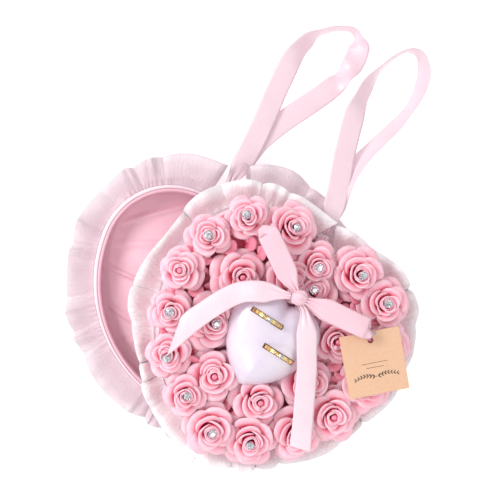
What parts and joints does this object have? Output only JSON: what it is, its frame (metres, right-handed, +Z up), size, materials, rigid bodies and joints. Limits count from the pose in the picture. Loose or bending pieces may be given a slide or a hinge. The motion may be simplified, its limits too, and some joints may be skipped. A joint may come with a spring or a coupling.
{
  "type": "ring bearer pillow",
  "caption": "Heart-shaped satin ring bearer pillow: a ruffled tray and a rose-covered lid joined at the tip, with a pearl heart holding rings, a ribbon bow, ribbon handles and a gift tag.",
  "frame": {"origin": "centre of the back half's flat bottom, where it rests on a table", "axes": "+Z up, +Y from the back heart's tip towards its cleft and handle, +X to the right of that"},
  "size_m": [0.2504, 0.329, 0.0875],
  "materials": {
    "outer_satin": "pale pink satin, semi-gloss",
    "ruffle_satin": "very pale pink satin, semi-gloss",
    "lining_satin": "darker pink satin lining",
    "piping_satin": "pale pink satin over cord",
    "board": "grey board",
    "wadding": "white polyester wadding",
    "ribbon": "double-faced pale pink satin ribbon",
    "rose_foam": "matt pink sheet foam petals",
    "rose_foam_dark": "matt deep pink foam",
    "pearl_base": "white board",
    "pearl": "pearl-coated heart, soft gloss",
    "ring_gold": "polished gold plate",
    "crystal": "cut clear crystal",
    "tag_kraft": "kraft card, matt",
    "thread": "pink thread"
  },
  "bodies": {
    "back_half": {"back_cover": "outer_satin", "back_shell": "board", "back_wadding": "wadding", "back_lining": "lining_satin", "back_piping": "piping_satin", "back_ruffle": "ruffle_satin", "hinge_anchor": "ribbon"},
    "back_handle": {"back_handle": "ribbon", "back_handle_knot": "ribbon"},
    "hinge_tab": {"hinge_tab": "ribbon"},
    "front_half": {"front_cover": "outer_satin", "front_shell": "board", "front_lining": "lining_satin", "front_piping": "piping_satin", "front_ruffle": "ruffle_satin", "hinge_flap": "ribbon", "rose_bed": "rose_foam_dark", "rose_1": "rose_foam", "rose_2": "rose_foam", "rose_3": "rose_foam", "rose_4": "rose_foam", "rose_5": "rose_foam", "rose_6": "rose_foam", "rose_7": "rose_foam", "rose_8": "rose_foam", "rose_9": "rose_foam", "rose_10": "rose_foam", "rose_11": "rose_foam", "rose_12": "rose_foam", "rose_13": "rose_foam", "rose_14": "rose_foam", "rose_15": "rose_foam", "rose_16": "rose_foam", "rosebud_1": "rose_foam", "rosebud_2": "rose_foam", "rosebud_3": "rose_foam", "rosebud_4": "rose_foam", "rosebud_5": "rose_foam", "rosebud_6": "rose_foam", "rosebud_7": "rose_foam", "rosebud_8": "rose_foam", "pearl_heart_base": "pearl_base", "pearl_heart": "pearl", "bow_knot": "ribbon", "bow_loop_left": "ribbon", "bow_loop_right": "ribbon", "bow_tail_left": "ribbon", "bow_tail_right": "ribbon", "tag_thread": "thread"},
    "front_handle": {"front_handle": "ribbon", "front_handle_knot": "ribbon"},
    "ring_1": {"ring_1": "ring_gold", "ring_stone_1": "crystal"},
    "ring_2": {"ring_2": "ring_gold", "ring_stone_2": "crystal"},
    "tag": {"tag_card": "tag_kraft"}
  },
  "joints": [
    {"name": "lid_turn", "type": "hinge", "parent": "back_half", "child": "hinge_tab", "pos_m": [0, -0.101, 0.024], "axis": [0, 0, 1], "range_deg": [-14, 25]},
    {"name": "lid_fold", "type": "hinge", "parent": "hinge_tab", "child": "front_half", "pos_m": [-0.00423, -0.11006, 0.0248], "axis": [0.9063, -0.4226, 0], "range_deg": [0, 100]},
    {"name": "back_handle_swing", "type": "hinge", "parent": "back_half", "child": "back_handle", "pos_m": [0, 0.07587, 0.0114], "axis": [0, 0, 1], "range_deg": [0, 30]},
    {"name": "front_handle_swing", "type": "hinge", "parent": "front_half", "child": "front_handle", "pos_m": [0.07137, 0.05205, 0.03315], "axis": [0.9511, -0.309, 0], "range_deg": [0, 70]},
    {"name": "ring_1_lift", "type": "slide", "parent": "front_half", "child": "ring_1", "axis": [0, 0, 1], "range_m": [0, 0.02]},
    {"name": "ring_2_lift", "type": "slide", "parent": "front_half", "child": "ring_2", "axis": [0, 0, 1], "range_m": [0, 0.02]},
    {"name": "tag_swing", "type": "hinge", "parent": "front_half", "child": "tag", "pos_m": [0.10772, -0.00724, 0.0725], "axis": [0, 0, 1], "range_deg": [-15, 15]}
  ]
}
